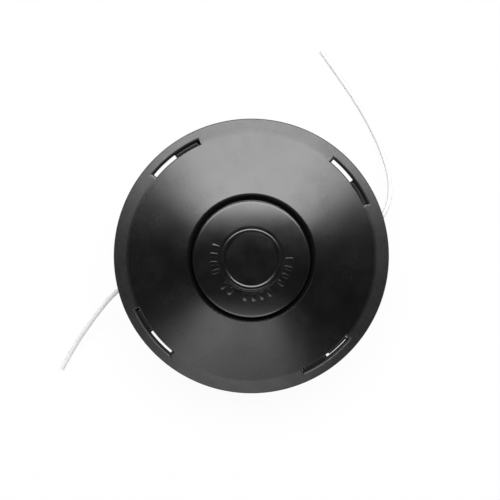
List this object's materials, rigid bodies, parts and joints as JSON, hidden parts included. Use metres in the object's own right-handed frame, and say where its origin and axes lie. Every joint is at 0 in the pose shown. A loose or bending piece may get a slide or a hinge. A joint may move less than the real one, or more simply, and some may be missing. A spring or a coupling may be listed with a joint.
{
  "type": "trimmer head",
  "caption": "Bump-feed trimmer head: round black cover with a shallow cone and curved windows, domed bump knob, spool in a moulded housing with captive nut, and nylon line tails.",
  "frame": {"origin": "centre of the mounting face on the gearbox side, on the turning axis", "axes": "+Z along the turning axis towards the bump knob, +X and +Y across the disc as the picture shows right and up"},
  "size_m": [0.1755, 0.1753, 0.0574],
  "materials": {
    "cover_plastic": "satin black moulded nylon",
    "knob_plastic": "satin black moulded nylon",
    "housing_plastic": "satin black moulded nylon",
    "spool_plastic": "dark grey moulded nylon",
    "line_nylon": "clear white drawn nylon",
    "zinc_steel": "bright zinc plating",
    "spring_steel": "drawn spring wire",
    "retainer_plastic": "natural acetal"
  },
  "bodies": {
    "housing": {"upper_housing": "housing_plastic", "bottom_cover": "cover_plastic", "seat_washer": "zinc_steel", "arbor_nut": "zinc_steel", "nut_retainer": "retainer_plastic", "line_eyelet_right": "zinc_steel", "line_eyelet_left": "zinc_steel", "line_tail_right": "line_nylon", "line_tail_left": "line_nylon", "spring_seat": "zinc_steel", "bump_spring": "spring_steel"},
    "slider": {"thrust_washer": "zinc_steel"},
    "reel": {"spool": "spool_plastic", "line_winding_upper": "line_nylon", "line_winding_lower": "line_nylon", "bump_knob": "knob_plastic", "knob_screws": "zinc_steel"}
  },
  "joints": [
    {"name": "bump", "type": "slide", "parent": "housing", "child": "slider", "axis": [0, 0, -1], "range_m": [0, 0.006], "stiffness_N_per_m": 2000, "springref_m": -0.01, "deforming": ["bump_spring"]},
    {"name": "spool_turn", "type": "hinge", "parent": "slider", "child": "reel", "pos_m": [0, 0, 0], "axis": [0, 0, 1], "range_deg": [0, 22.5]}
  ],
  "couplings": [
    {"joint": "spool_turn", "follows": "bump", "rad_per_m": 65.4}
  ]
}
